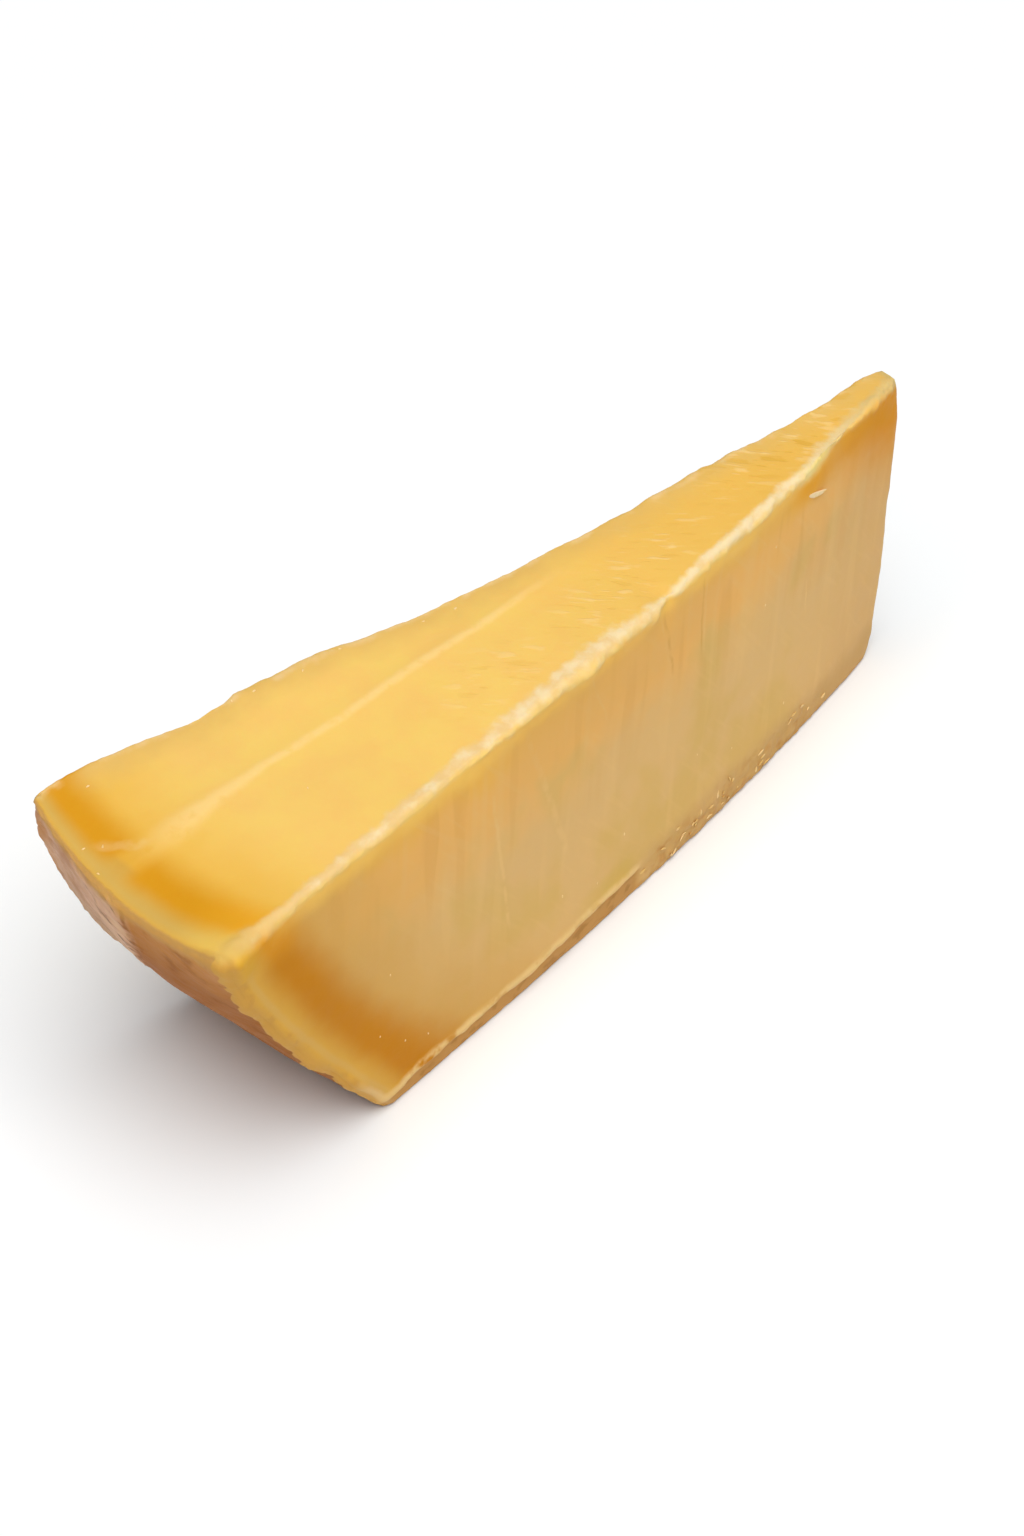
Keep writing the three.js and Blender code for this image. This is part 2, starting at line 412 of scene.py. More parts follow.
def rim_zone(behind, palest, deepest, gone):
    """0 at the rind, 1 where the strip is palest, 2 where the amber is deepest, 3 where it is gone."""
    rising = 1 + (behind - palest) / (deepest - palest)
    falling = 2 + (behind - deepest) / (gone - deepest)
    return np.where(behind < palest, behind / palest, np.where(behind < deepest, rising, falling))


undercut, power = undercut_at(across)
slope = undercut * power * np.clip(1 - up, 0, 1) ** (power - 1) / HEEL_HEIGHT
behind_rind = (x - heel_x(across, np.clip(up, 0, 1))) / np.hypot(1, slope)
rim_depths = [
    lerp(side, lerp(right, left, across), on_top)
    for side, right, left in zip(RIM_SIDE, RIM_TOP_RIGHT, RIM_TOP_LEFT)
]
rim_depths[2] += 5.0 * (1 - on_top) * hill(z - 8, 16)  # wider near the foot
rim = rim_zone(behind_rind, *rim_depths)

# %% The pale lip along the top right edge
# `over_lip` runs across the edge: positive on the top, negative down the right cut
over_lip = to_right - to_top
near_lip = np.maximum(to_right, to_top)
near_left = np.maximum(wedge.to_left, to_top)
near_tip = np.maximum(to_tip, to_top)
near_heel_edge = np.maximum(to_right, to_rind)

# Where its borders on the top and down the cut swell: X, mm and reach
LIP_UPPER_SWELLS = ((-16, 1.7, 34), (83, 1.8, 8), (18, -0.9, 13), (45, -0.4, 12), (68, -0.6, 6))
LIP_LOWER_SWELLS = (
    (-3, -0.4, 14), (15, -0.9, 8), (50, -0.3, 16), (70, -1.7, 7), (77, -0.5, 4), (103, -1.4, 5)
)
lip_upper = 2.3 + swells(LIP_UPPER_SWELLS, x) - 0.5 * ease(-x, 80, 95)
lip_lower = -0.8 + swells(LIP_LOWER_SWELLS, x)
lip = (over_lip - lip_lower) / (lip_upper - lip_lower)

# %% The fold along the top, and the ledge at the foot
crease_line = CREASE_Y + 1.3 * np.exp(-(x + 100) / 9) + 0.25 * wave(x, 38, 0.5)
crease = y - crease_line

LEDGE_ENDS = (-69.0, 12.0)  # X where the overhanging ledge of paste starts and ends
LEDGE_HEIGHTS = (3.8, 7.2)
ledge_share = (x - LEDGE_ENDS[0]) / (LEDGE_ENDS[1] - LEDGE_ENDS[0])
ledge_z = lerp(*LEDGE_HEIGHTS, np.clip(ledge_share, 0, 1))
has_ledge = on_right * ease(x, -74, -62) * ease(x, 14, 11)
above_ledge = z - ledge_z + 1.1 * lumps(place, 8, 75)  # the ledge is ragged

# %% The flaked patch on the rind
# Its right border is a ridge that comes down from the rim and sweeps back under it
RIDGE_FRONT = (-2.4, 66.0)  # Y and Z where the ridge stands farthest to the right
RIDGE_SWEEP = 64.0


def ridge_y(z):
    """A parabola: front y + (z - front z)^2 / sweep."""
    return RIDGE_FRONT[0] + np.square(z - RIDGE_FRONT[1]) / RIDGE_SWEEP


ridge = y - ridge_y(z) + 1.2 * lumps(place, 6, 40)
in_patch = on_heel * ease(ridge, -0.6, 0.6) * ease(z, 14, 30)

# %% The torn border of the rind along the right cut: scales of paste lap over it
SCALE_LENGTH = 4.2
SCALE_REACHES = (1.3, 2.7)  # how far they reach onto the rind, in mm
scallop = np.abs(wave(z + 3.0 * lumps(place, 9, 71), 2 * SCALE_LENGTH, 0.6))
torn = to_right - lerp(*SCALE_REACHES, scallop)

# %% Zones left by handling
SCUFFS = (((-20, -10), (13, 6)), ((8, -9), (11, 6)), ((28, -6), (12, 6)), ((70, 0), (27, 9)))
scuffed = on_top * np.clip(sum(patch(x, y, *scuff) for scuff in SCUFFS), 0, 1)
pitted = on_right * ease(x, 8, 18) * ease(x, 88, 72) * ease(z, 12, 5)

# %% [markdown]
# ## The fine relief
#
# The knife leaves a clean cut, but its edge tears: small lumps along every edge, a crumbly bevel for
# the lip, a few crumbs that hang over it and one notch. The rind is rough and lumpy, with a flaked
# patch, and the foot is pitted where it was dragged off the board. It is all real displacement, mostly
# of a few tenths of a millimetre, because it shows in the outline.

# %% Lumps of the cut faces and the edges
heel_strip = ease(rim, 1.6, 0)

fine = 0.2 * lumps(place, 5, 1) * hill(from_edge, 3.2)
fine += 0.08 * crumble(place, 2.2, 5) * hill(from_edge, 1.5)
fine += 0.16 * lumps(place, 13, 17) * on_cuts
fine += 0.1 * lumps(place, 5, 21) * heel_strip * on_cuts
fine += 0.45 * lumps(place, 5.5, 61) * hill(near_left, 2.4)
fine += 0.22 * lumps(place, 7, 65) * hill(near_heel_edge, 2.4) - 0.35 * hill(near_heel_edge, 1.5)
fine += 0.25 * on_heel * ease(torn, 0.3, -0.4) * ease(z, 2, 8) * ease(z, 74, 64)

# %% Bumps of the torn left edge
LEFT_EDGE_BUMPS = (  # X, height (+) or depth (-) and reach
    (-90.5, 0.5, 7), (-71.5, 0.4, 3.5), (-64, -0.35, 3), (-60, 0.4, 2.5), (-51, -0.35, 3),
    (-39.5, 0.6, 6.5), (-27, 0.3, 6), (0.5, -0.35, 6.5), (17, -0.25, 2.5), (22, -0.3, 4),
    (37, 0.28, 4), (46, 0.25, 6), (60, 0.35, 2.5), (68, -0.25, 2.5), (81, 0.35, 4), (95, -0.2, 3),
)
fine += swells(LEFT_EDGE_BUMPS, x) * hill(near_left, 3.0)

# %% The crumbly lip
OVERHANGS = (  # X, mm down and mm out
    (-22.0, 1.2, 0.3), (-9.5, 1.4, 0.4), (-5.0, 1.8, 0.6), (3.0, 1.4, 0.4), (15.0, 2.4, 0.7),
)
NOTCH = (20.8, 1.0, 1.2)  # X, half width and depth
lip_roughness = lerp(0.4, 1.0, ease(x, -55, -25))

fine -= 0.35 * hill(near_lip, 2.0)
fine -= 0.9 * hill(np.maximum(near_lip, to_tip), 2.6)  # the corner at the tip is worn round
fine += 0.17 * lip_roughness * crumble(place, 3.4, 9) * hill(over_lip - 1.0, 1.7) * hill(near_lip, 4)
fine += 0.55 * lip_roughness * lumps(place, 4.5, 13) * hill(lip - 0.3, 0.6) * hill(near_lip, 4)
fine += 0.5 * lip_roughness * crumbs_only(place, 4.0, 13) * on_right * hill(to_top - 1.3, 1.1)
for over_x, down, out in OVERHANGS:
    fine += out * on_right * patch(x, to_top, (over_x, down), (2.6, 1.7))
fine -= NOTCH[2] * patch(x, near_lip, (NOTCH[0], 0), (NOTCH[1], 2.2))

# %% The rind, and the foot of the right cut
RIND_BUMPS = (((17, 46), 0.9, 8), ((29, 68), 0.8, 9), ((-13.5, 23), -0.5, 7))  # Y and Z, height, reach
crack_place = np.stack([x / 3, (y - 0.3 * z) / 6, (z + 0.3 * y) / 1.7], axis=1)
fine += on_heel * (0.34 * lumps(place, 9, 29) + 0.12 * lumps(place, 2.4, 33))
fine += 0.55 * in_patch * np.exp(-np.clip(ridge, 0, None) / 10)
fine += hill(to_rind, 3) * sum(
    height * patch(y, z, centre, (reach, reach)) for centre, height, reach in RIND_BUMPS
)
fine -= 0.35 * in_patch * crumbs_only(crack_place, 1, 37) * ease(ridge, 0.5, 3)
fine += 0.1 * on_base * lumps(place, 4, 53)

fine += has_ledge * 0.52 * hill(above_ledge - 0.9, 1.2) * (0.8 + 0.8 * lumps(place, 4, 49))
fine -= has_ledge * 0.45 * ease(above_ledge, 0.2, -0.5)
fine -= 0.4 * pitted * crumbs_only(place, 3.0, 45)

# %% Move the points
wedge.points = raised(wedge, fine, np.clip(z / EDGE_REACH, 0, 1))
print("fine relief, mm: from", fine.min().round(2), "to", fine.max().round(2))

# %% Make a mesh object from arrays


def add_object(name, data):
    """A new object of this mesh, light or camera, in the scene."""
    new_object = bpy.data.objects.new(name, data)
    bpy.context.scene.collection.objects.link(new_object)
    return new_object


def make_piece(name, points, quads):
    """A mesh object at the origin, with its place in its mesh; points come in millimetres."""
    mesh = bpy.data.meshes.new(name)
    mesh.from_pydata(((points + to_frame) * MM).tolist(), [], quads.tolist())
    mesh.polygons.foreach_set("use_smooth", np.full(len(quads), True))
    mesh.update()
    return add_object(name, mesh)


dressed = make_piece("dressed_wedge", wedge.points, wedge.quads)
# One number per point for each zone, for the material to read
zones = dict(
    on_top=on_top, on_side=on_right + on_left, on_base=on_base, rind=np.clip(on_heel + on_base, 0, 1),
    across=across, below_top=to_top, near_left=near_left, near_tip=near_tip, near_lip=near_lip,
    rim=rim, lip=lip, torn=torn, crease=crease, scuffed=scuffed, pitted=pitted,
    has_ledge=has_ledge, above_ledge=above_ledge, ridge=ridge, in_patch=in_patch,
)
for zone_name, values in zones.items():
    layer = dressed.data.attributes.new(zone_name, "FLOAT", "POINT")
    layer.data.foreach_set("value", values.astype(np.float32))
print("zones:", ", ".join(zones))

# %% [markdown]
# ## Specks, one flake and torn flecks
#
# Pale specks of dried paste stick to the cuts, one thin flake has curled off the right cut near the
# tip, and the foot is torn into flecks. A speck is an uneven ball of 24 quads, sunk in the surface. A
# flake or fleck is a thin leaf.

# %% Small shapes, seated on the wedge


def seats_near(face, goals, axes):
    """For each goal, the number of the point of this face that is nearest to it along two axes."""
    candidates = np.flatnonzero(face > 0.6)
    away = wedge.points[candidates][:, None, axes] - np.array(goals)[None]
    return candidates[np.argmin(np.square(away).sum(axis=2), axis=0)]


def scatter(name, seats, turns, shapes, quads):
    """One mesh of small shapes. `shapes` (N, P, 3) is in mm along the surface, beside that and out
    of it, where along is +X laid flat on the surface and turned by the angle."""
    normals = vertex_normals(wedge.points, wedge.quads)[seats]
    flat = np.array([1.0, 0, 0]) - normals[:, :1] * normals
    flat /= np.linalg.norm(flat, axis=1, keepdims=True)
    beside = np.cross(normals, flat)
    cosine, sine = np.cos(turns)[:, None], np.sin(turns)[:, None]
    axes = np.stack([flat * cosine + beside * sine, beside * cosine - flat * sine, normals], axis=1)
    points = wedge.points[seats][:, None] + shapes @ axes
    numbers = (quads + np.arange(len(seats))[:, None, None] * shapes.shape[1]).reshape(-1, 4)
    print(f"{name}: {len(seats)} copies, {2 * len(numbers)} triangles")
    return make_piece(name, points.reshape(-1, 3), numbers)


# %% Specks: upright on the cuts where the knife dragged them, at random on the top
BALL_ROWS, BALL_QUADS = closed_box((2, 2, 2))
BALL = (BALL_ROWS - 1.0) / np.linalg.norm(BALL_ROWS - 1.0, axis=1, keepdims=True)
SPECK_HALF_SIZE = (0.42, 0.2, 0.16)  # along, beside and out of the surface
SPECK_SUNK = 0.6  # share of its height that is below the surface
SIDE_SPECKS = (  # X and Z on the right cut
    (6.4, 23.2), (-13, 20), (-1.8, 15), (-64, 40.5), (-67.8, 24.5), (-60.9, 16.8),
    (-54.6, 12.9), (31.8, 27), (45, 18), (64.5, 15.5), (54.7, 52.5), (57, 68),
)
TOP_SPECKS = (  # X and Y on the top
    (-47.3, 16.7), (-57.6, 19.5), (-37.9, 16.4), (-13.1, 10.1), (-20.3, 11.6), (-61.8, 20.5),
    (-95.6, 22.9), (-65.9, -6.2), (-105, 11.8), (-106.1, 6.7), (-101.6, 11),
)
LEFT_SHIFT = (11, -3)  # the left cut has the right cut's specks, moved along and down
SPECK_SEED = 5
speck_draw = np.random.default_rng(SPECK_SEED)
speck_seats = np.concatenate([
    seats_near(on_right, SIDE_SPECKS, (0, 2)),
    seats_near(on_top, TOP_SPECKS, (0, 1)),
    seats_near(on_left, np.array(SIDE_SPECKS) + LEFT_SHIFT, (0, 2)),
])
speck_count = len(speck_seats)
speck_sizes = speck_draw.uniform(0.8, 1.25, (speck_count, 1)) * np.array([SPECK_HALF_SIZE])
speck_turns = np.where(on_top[speck_seats] > 0.5, speck_draw.uniform(0, np.pi, speck_count), np.pi / 2)
speck_shapes = BALL * speck_draw.uniform(0.75, 1.25, (speck_count, len(BALL), 1)) * speck_sizes[:, None]
speck_shapes[:, :, 2] += speck_sizes[:, 2:] * (1 - 2 * SPECK_SUNK)
specks = scatter("dried_specks", speck_seats, speck_turns, speck_shapes, BALL_QUADS)

# %% Thin slivers: one curled flake, and torn flecks along the foot
SLIVER_ROWS, SLIVER_QUADS = closed_box((12, 4, 1))
SLIVER = SLIVER_ROWS / (6.0, 2.0, 1.0) - (1.0, 1.0, 0.0)
FLAKE_PLACE = (71.6, 72.0)  # X and Z of its middle
FLAKE_SIZE = (6.4, 1.15, 0.35)  # length, width and thickness
FLAKE_LIFT = 0.7  # of its free end, off the surface
FLAKE_TURN = -0.30  # radians, from level
FOOT_FLECKS = 34
FLECK_THICKNESS = 0.25


def sliver_shapes(lengths, widths, thickness, lifts):
    """A leaf for u from -1 to 1: width * (1 - 0.3 u) * (1 - u^2)^0.6 across it, and lifted off the
    surface by lift * (1 + u)^2 / 4."""
    u, v, w = SLIVER.T
    lengths, widths, lifts = (np.reshape(values, (-1, 1)) for values in (lengths, widths, lifts))
    half_width = widths / 2 * (1 - 0.3 * u) * (1 - 0.97 * u * u) ** 0.6
    beside = half_width * v + 0.06 * lengths * u * u
    off = lifts * (1 + u) ** 2 / 4 + thickness * (w - 0.4) * (1 - 0.8 * u * u)
    return np.stack([lengths / 2 * u, beside, off], axis=2)


flake_shape = sliver_shapes(*FLAKE_SIZE, FLAKE_LIFT)
flake_seat = seats_near(on_right, [FLAKE_PLACE], (0, 2))
curled_flake = scatter("curled_flake", flake_seat, np.array([FLAKE_TURN]), flake_shape, SLIVER_QUADS)

FLECK_SEED = 8
fleck_draw = np.random.default_rng(FLECK_SEED)
fleck_chances = pitted * hill(z - 6.5, 3.2)
fleck_seats = fleck_draw.choice(len(x), FOOT_FLECKS, replace=False, p=fleck_chances / fleck_chances.sum())
fleck_lengths, fleck_widths, fleck_lifts, fleck_turns = (
    fleck_draw.uniform(least, most, FOOT_FLECKS)
    for least, most in ((0.9, 2.8), (0.35, 0.7), (0.1, 0.5), (0, np.pi))
)
fleck_shapes = sliver_shapes(fleck_lengths, fleck_widths, FLECK_THICKNESS, fleck_lifts)
foot_flecks = scatter("foot_flecks", fleck_seats, fleck_turns, fleck_shapes, SLIVER_QUADS)

# %% [markdown]
# ## Wiring materials
#
# A material is a chain: each layer is a colour laid over the ones before it by a mask. The class
# below makes a node in one line, so the chain reads from top to bottom.

# %% One line for each node


def paint(red, green, blue):
    """A colour on the 0 to 255 scale of a screen, as the linear values that Blender wants."""
    screen = np.array([red, green, blue]) / 255
    linear = np.where(screen > 0.04045, ((screen + 0.055) / 1.055) ** 2.4, screen / 12.92)
    return (*linear, 1.0)


class Wiring:
    """Adds nodes to a material or the world. Each method returns the socket with its result."""

    def __init__(self, owner, main="Principled BSDF"):
        owner.use_nodes = True
        self.owner = owner
        self.tree = owner.node_tree
        self.main = self.tree.nodes[main].inputs
        self.place = self.add("TexCoord", {})["Object"]

    def feed(self, socket, value):
        """A socket takes the result of another node, a plain value, or a screen colour's 3 numbers."""
        if isinstance(value, bpy.types.NodeSocket):
            self.tree.links.new(value, socket)
        elif isinstance(value, tuple) and len(value) == 3:
            socket.default_value = paint(*value)
        else:
            socket.default_value = value

    def feed_all(self, inputs, sockets):
        """`sockets` says what the inputs take, by name or number."""
        for name, value in sockets.items():
            self.feed(inputs[name], value)

    def add(self, kind, sockets, **settings):
        """The outputs of a new node."""
        node = self.tree.nodes.new("ShaderNode" + kind)
        for name, value in settings.items():
            setattr(node, name, value)
        self.feed_all(node.inputs, sockets)
        return node.outputs

    def zone(self, name):
        return self.add("Attribute", {}, attribute_name=name)["Fac"]

    def axis(self, number):
        """X, Y or Z of the surface in the millimetres of the formulas above."""
        metres = self.add("SeparateXYZ", {0: self.place})[number]
        return self.scaled(metres, 1 / MM, -float(to_frame[number]))

    def noise(self, size, detail=2.0, stretch=(1, 1, 1), turn=(0, 0, 0)):
        """Noise from 0 to 1, its features `size` mm wide, drawn out along the axes by `stretch`."""
        rotation = [math.radians(angle) for angle in turn]
        scale = [size * MM * factor for factor in stretch]
        mapping = {"Vector": self.place, "Rotation": rotation, "Scale": scale}
        place = self.add("Mapping", mapping, vector_type="TEXTURE")["Vector"]
        return self.add("TexNoise", {"Vector": place, "Scale": 1.0, "Detail": detail})["Fac"]

    def calc(self, operation, *values):
        return self.add("Math", dict(enumerate(values)), operation=operation)["Value"]

    def scaled(self, value, factor, offset):
        """value * factor + offset."""
        return self.calc("MULTIPLY_ADD", value, factor, offset)

    def inverse(self, mask):
        return self.calc("SUBTRACT", 1.0, mask)

    def both(self, *masks):
        """The product of several masks; a plain number weakens the others."""
        return reduce(partial(self.calc, "MULTIPLY"), masks)

    def total(self, *values):
        return reduce(partial(self.calc, "ADD"), values)

    def ramp(self, value, start, end):
        """Eased from 0 at start to 1 at end; start may be the larger."""
        rising = start < end
        limits = {"From Min": min(start, end), "From Max": max(start, end)}
        levels = {"To Min": float(not rising), "To Max": float(rising)}
        sockets = {"Value": value, **limits, **levels}
        return self.add("MapRange", sockets, interpolation_type="SMOOTHSTEP")["Result"]

    def wander(self, value, size, amount, detail=2.0):
        """The value plus noise from -amount to amount, so that a border through it wanders."""
        noise = self.calc("SUBTRACT", self.noise(size, detail), 0.5)
        return self.scaled(noise, 2 * amount, value)

    def ragged(self, value, size, amount, start, end, detail=2.0):
        """A ramp whose border wanders."""
        return self.ramp(self.wander(value, size, amount, detail), start, end)

    def line(self, value, half_width, middle=0):
        """1 where the value is in the middle of a line, and 0 beyond its half width."""
        away = self.calc("ABSOLUTE", self.calc("SUBTRACT", value, middle))
        return self.ramp(away, half_width, 0.2 * half_width)

    def oval(self, first, second, centre, reach):
        """1 in the middle of an oval and 0 at its reach, given two coordinates."""
        one, other = (
            self.scaled(value, 1 / half, -middle / half)
            for value, middle, half in zip((first, second), centre, reach)
        )
        squares = self.calc("ADD", self.both(one, one), self.both(other, other))
        return self.ramp(self.calc("SQRT", squares), 1.0, 0.1)

    def over(self, base, colour, *masks):
        """The colour laid over the base where the product of the masks is 1."""
        return self.add("Mix", {0: self.both(*masks), 6: base, 7: colour}, data_type="RGBA")[2]

    def layers(self, base, *layers):
        """Several colours, each with its masks, laid over the base one after the other."""
        for layer in layers:
            base = self.over(base, *layer)
        return base

    def cover(self, piece, colour, roughness, relief, subsurface):
        """Gives a piece its satin skin, with shading relief in millimetres, over paste that lets a
        little light in."""
        bump = self.add("Bump", {"Strength": 1.0, "Distance": MM, "Height": relief})
        self.feed_all(self.main, {
            "Base Color": colour, "Roughness": roughness, "Normal": bump["Normal"],
            "Specular IOR Level": 0.05, "Subsurface Weight": subsurface,
            "Subsurface Radius": [1.0, 0.5, 0.2], "Subsurface Scale": 0.003,
        })
        piece.data.materials.append(self.owner)


# %% [markdown]
# ## The paste and its rind
#
# Cut paste is waxy: satin and a little translucent, yellow clouded with peach on the top and a
# duller tan on the upright cuts. Towards the rind it dries to amber, and the last few millimetres
# are paler again. Where the knife tore it, it is cream. The rind is drier and rougher, orange brown
# to the right and tan where it has flaked.

# %% Colours, on the 0 to 255 scale of a screen
TOP_YELLOW = (237, 198, 104)
TOP_PEACH = (237, 190, 104)
TOP_TIP_PASTE = (230, 181, 84)
TOP_WARM = (229, 180, 76)
TOP_LEFT_EDGE = (222, 180, 98)
TOP_AMBER = (212, 148, 28)
TOP_STRIP = (207, 168, 85)
# painted light: the top's strip and amber are lighter at the heel's right corner, against the shade of
# the slope there
TOP_STRIP_LIT_CORNER = (237, 196, 94)
TOP_AMBER_LIT_CORNER = (232, 165, 40)
CORNER_CREAM = (220, 181, 96)
TOP_EDGE = (202, 158, 82)
SIDE_TOP = (240, 182, 82)
SIDE_UPPER = (241, 183, 99)
SIDE_LOWER = (228, 185, 118)
SIDE_KHAKI = (222, 181, 104)
SIDE_FAR = (222, 176, 112)
SIDE_AMBER = (204, 131, 16)
SIDE_STRIP_TOP = (226, 170, 54)
SIDE_AMBER_TOP = (230, 153, 8)
SIDE_ORANGE = (231, 178, 98)
SIDE_WARM = (219, 169, 88)
SIDE_STRIP = (223, 169, 70)
SIDE_EDGE = (210, 157, 74)
SIDE_LINE = (222, 176, 92)
SIDE_MOTTLE = (202, 147, 70)
# painted glow: light shining through the thin paste under the lip, laid on as colour
PAINTED_GLOW = (250, 199, 96)
GOLDEN = (238, 164, 30)
TIP_AMBER = (222, 142, 0)
TIP_BAND = (220, 148, 24)
TIP_CREAM = (210, 178, 104)
# the lip's pale edge, made lighter still as painted light over the shade of the lip's lower step
LIP_EDGE_PALE_AND_LIT = (244, 205, 119)
LIP_PINK = (232, 196, 134)
# painted highlight on the lip's upturned facet before the tip
FACET_HIGHLIGHT = (255, 226, 134)
LEFT_LIP = (234, 198, 138)
LIP_CREAM = (239, 217, 172)
CREASE_TONE = (244, 206, 130)
# scratch strokes: paler paste with a painted highlight, and darker strokes with painted shade
PALE_STREAK_AND_HIGHLIGHT = (242, 206, 136)
DARK_STREAK_AND_SHADE = (218, 168, 66)
DRAG_PALE = (238, 196, 126)
DRAG_DARK = (212, 150, 66)
FOOT_CREAM = (236, 200, 140)
FOOT_DARK = (182, 130, 66)
FOOT_RIND = (203, 150, 83)
FOOT_LEDGE = (235, 197, 130)
FOOT_GOLD = (216, 178, 84)
FOOT_ROUGH = (206, 162, 100)
RIND_RIM = (190, 146, 82)
RIND_TOP = (208, 156, 82)
RIND_ORANGE = (200, 134, 66)
RIND_BROWN = (166, 99, 35)
RIND_DEEP = (146, 85, 31)
RIND_TAN = (221, 174, 141)
RIND_TAN_LOW = (200, 156, 120)
RIND_PALE = (230, 188, 148)
RIND_CRACK = (126, 84, 54)

# %% What layers share
w = Wiring(bpy.data.materials.new("cheese_paste_and_rind"))
at_x, at_y, at_z = (w.axis(number) for number in range(3))
on_top_face = w.zone("on_top")
off_top = w.inverse(on_top_face)
on_side_face = w.zone("on_side")
rim_place = w.zone("rim")
below_top = w.zone("below_top")
across_place = w.zone("across")
on_right_cut = w.both(on_side_face, w.ramp(across_place, 0.5, 0.45))
mottle = w.noise(5, 3)
spots = w.noise(3.5, 3)
patchy = w.ramp(spots, 0.28, 0.6)

# %% The fold along the top, and its kink at the heel
narrowing = w.scaled(w.ramp(at_x, -60, -92), -0.66, 1)  # broader towards the heel
from_fold = w.both(w.calc("ABSOLUTE", w.wander(w.zone("crease"), 5, 0.6)), narrowing)
fold = w.both(
    w.ramp(from_fold, 1.6, 0.2), w.ramp(at_x, 14, -14), w.ramp(at_x, -101, -84), w.ramp(spots, 0.2, 0.52)
)
KINK_START = (-102, 11)  # X and Y: the kink runs across the amber to the start of the fold
KINK_END = (-96, 4.5)
kink_run = np.subtract(KINK_END, KINK_START)
kink_across = np.array([kink_run[1], -kink_run[0]]) / np.hypot(*kink_run)
from_kink = w.scaled(at_y, float(kink_across[1]), -float(kink_across @ KINK_START))
from_kink = w.scaled(at_x, float(kink_across[0]), from_kink)
kink = w.both(w.line(w.wander(from_kink, 4, 1.2), 1.4), w.ramp(at_y, 3.5, 5.5), w.ramp(at_y, 13, 10))

# %% Scratches of the knife across the top: each a pale stroke beside a deeper one
# Each is partly the paste's own tone and partly a painted highlight and painted shade of its relief.
SCRATCH_TURN = (0, 0, -46)  # the knife was drawn across the wedge at this angle
HAIRLINE_TURN = (0, 0, -40)
scuffed_place = w.zone("scuffed")
scratch = w.wander(w.noise(1.8, 2, stretch=(4, 1, 1), turn=SCRATCH_TURN), 5, 0.12)
hairline = w.ramp(w.noise(1.2, 2, stretch=(7, 1, 1), turn=HAIRLINE_TURN), 0.58, 0.72)
scratches = w.both(w.ramp(scratch, 0.58, 0.7), scuffed_place)
scores = w.both(w.ramp(scratch, 0.42, 0.32), scuffed_place)
in_tufts = w.both(w.ramp(scuffed_place, -0.2, 1), w.ramp(mottle, 0.4, 0.6))

# %% The paste of the top: yellow with peach clouds, deeper to the tip, warm behind the rim
top_tone = w.layers(
    TOP_YELLOW,
    (TOP_PEACH, w.ramp(w.noise(9, 4), 0.3, 0.7), 0.8),
    (TOP_TIP_PASTE, w.ramp(w.scaled(w.noise(30, 3), 50, at_x), -10, 100)),
    (TOP_WARM, w.ragged(rim_place, 12, 0.6, 5.5, 2.2)),
    (TOP_LEFT_EDGE, w.ragged(w.zone("near_left"), 6, 3, 9, 0.5), on_top_face),
    (DARK_STREAK_AND_SHADE, scores, w.scaled(w.ramp(at_x, 45, 70), 0.65, 0.25)),
    (PALE_STREAK_AND_HIGHLIGHT, scratches, 0.65),
    (PALE_STREAK_AND_HIGHLIGHT, hairline, in_tufts, 0.35),
)

# %% The paste of the upright cuts: brightest under the top, then orange, then khaki and tan
# The knife dragged down them: it left broad faint bands, and a few single marks
depth = w.wander(below_top, 16, 8)
ragged_depth = w.wander(depth, 6, 4, 4)
drag = w.noise(4, 1, stretch=(1, 1, 12), turn=(0, 4, 0))
knife = w.noise(2, 1, stretch=(1, 1, 10), turn=(0, -36, 0))
side_tone = w.layers(
    SIDE_TOP,
    (SIDE_UPPER, w.ramp(depth, 2, 13)),
    (SIDE_LOWER, w.ramp(ragged_depth, 14, 38)),
    (SIDE_KHAKI, w.ramp(w.noise(20, 3, stretch=(1, 1, 1.6)), 0.45, 0.65), w.ramp(ragged_depth, 14, 26)),
    (SIDE_FAR, w.ragged(at_x, 30, 20, 55, 105), 0.7),
    (DRAG_DARK, w.ramp(drag, 0.48, 0.34), w.ramp(depth, 50, 10), 0.22),
    (DRAG_PALE, w.ramp(drag, 0.55, 0.72), 0.22),
    # pale diagonal streaks of the knife: a painted sheen
    (DRAG_PALE, w.ramp(knife, 0.56, 0.76), 0.16),
)
KNIFE_MARKS = (  # X at the top, mm of X for each mm down, half width, lowest and highest Z, strength
    (DRAG_PALE, -35.3, 0.10, 0.7, 26, 66, 0.50),
    (DRAG_PALE, -25.0, 0.27, 1.3, 32, 74, 0.40),
    (DRAG_PALE, -6.6, 0.36, 0.5, 62, 77, 0.55),
    (DRAG_DARK, 18.0, 0.16, 0.7, 60, 79, 0.75),
    (DRAG_PALE, 17.0, 0.16, 0.5, 60, 79, 0.40),
    (DRAG_DARK, 31.5, 0.00, 0.5, 58, 79, 0.50),
    (DRAG_PALE, 32.5, 0.00, 0.5, 58, 79, 0.40),
    (DRAG_PALE, 67.8, 0.09, 0.4, 40, 48, 0.60),
)
for tone, top_x, slant, half_width, lowest, highest, strength in KNIFE_MARKS:
    from_mark = w.scaled(at_z, slant, w.calc("SUBTRACT", at_x, top_x + slant * TIP_HEIGHT))
    ends = w.both(w.ramp(at_z, lowest - 4, lowest + 4), w.ramp(at_z, highest + 3, highest - 3))
    mark = w.line(w.wander(from_mark, 6, 0.8), half_width)
    side_tone = w.over(side_tone, tone, mark, ends, patchy, on_right_cut, strength)
